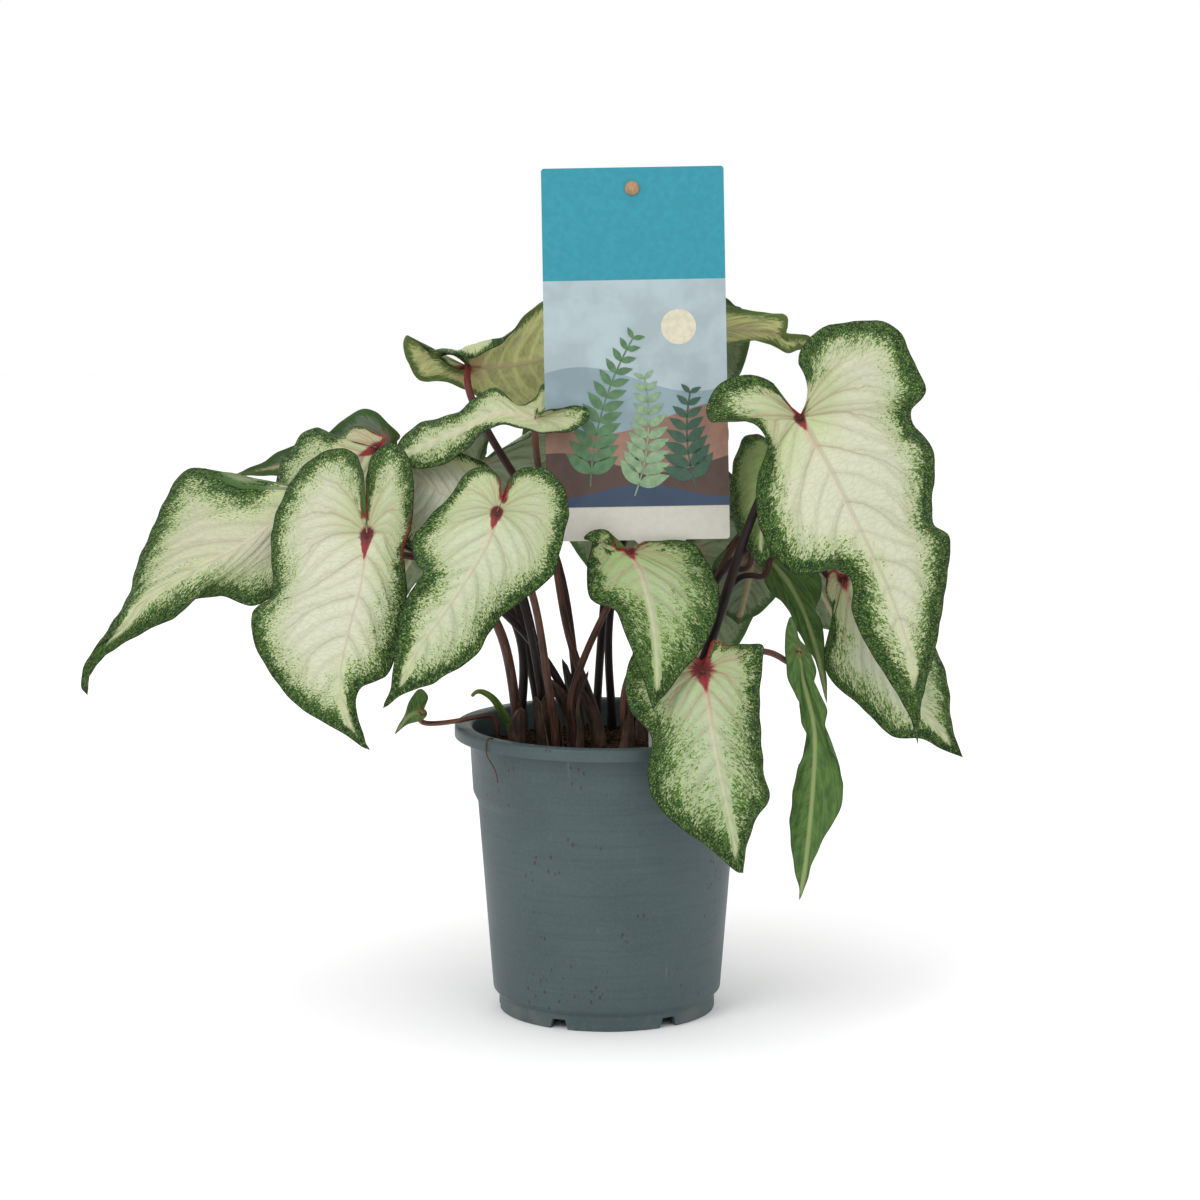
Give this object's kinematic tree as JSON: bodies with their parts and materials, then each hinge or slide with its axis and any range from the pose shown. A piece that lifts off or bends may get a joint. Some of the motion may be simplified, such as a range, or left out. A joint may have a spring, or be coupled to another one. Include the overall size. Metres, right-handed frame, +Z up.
{
  "type": "potted caladium",
  "caption": "Caladium with pale green heart-shaped leaves, dark green margins and red hearts on arching stalks, in a grey-blue nursery pot with a stick-in label",
  "frame": {"origin": "centre of the whole plant's plan, at the foot of the pot", "axes": "+Z up, -Z out of the pot's foot, +X to the right of a viewer who faces the label's printed side, +Y away from that viewer"},
  "size_m": [0.3426, 0.231, 0.3319],
  "materials": {
    "pot_plastic": "matte",
    "soil": "rough",
    "label_card": "satin",
    "blade": "satin",
    "green_blade": "satin",
    "stalk": "satin"
  },
  "bodies": {
    "root": {"pot": "pot_plastic", "soil": "soil", "plant_label": "label_card", "leaf_far_left": "blade", "leaf_far_left_stalk": "stalk", "leaf_front_left": "blade", "leaf_front_left_stalk": "stalk", "leaf_centre_left": "blade", "leaf_centre_left_stalk": "stalk", "leaf_upper_left": "blade", "leaf_upper_left_stalk": "stalk", "leaf_across": "blade", "leaf_across_stalk": "stalk", "leaf_back_left": "blade", "leaf_back_left_stalk": "stalk", "leaf_grey_left": "blade", "leaf_grey_left_stalk": "stalk", "leaf_pale_back": "blade", "leaf_pale_back_stalk": "stalk", "leaf_front_centre": "blade", "leaf_front_centre_stalk": "stalk", "leaf_front_low": "blade", "leaf_front_low_stalk": "stalk", "leaf_big_right": "blade", "leaf_big_right_stalk": "stalk", "leaf_right_low": "blade", "leaf_right_low_stalk": "stalk", "leaf_twisted": "green_blade", "leaf_twisted_stalk": "stalk", "leaf_grey_right": "blade", "leaf_grey_right_stalk": "stalk", "leaf_strap_right": "green_blade", "leaf_strap_right_stalk": "stalk", "leaf_by_label": "blade", "leaf_by_label_stalk": "stalk", "leaf_behind_label": "blade", "leaf_behind_label_stalk": "stalk", "leaf_far_1": "blade", "leaf_far_1_stalk": "stalk", "leaf_far_2": "blade", "leaf_far_2_stalk": "stalk", "leaf_far_3": "blade", "leaf_far_3_stalk": "stalk", "leaf_far_4": "blade", "leaf_far_4_stalk": "stalk", "leaf_far_5": "blade", "leaf_far_5_stalk": "stalk", "small_leaf": "green_blade", "small_leaf_stalk": "stalk", "shoot": "green_blade"}
  },
  "joints": []
}
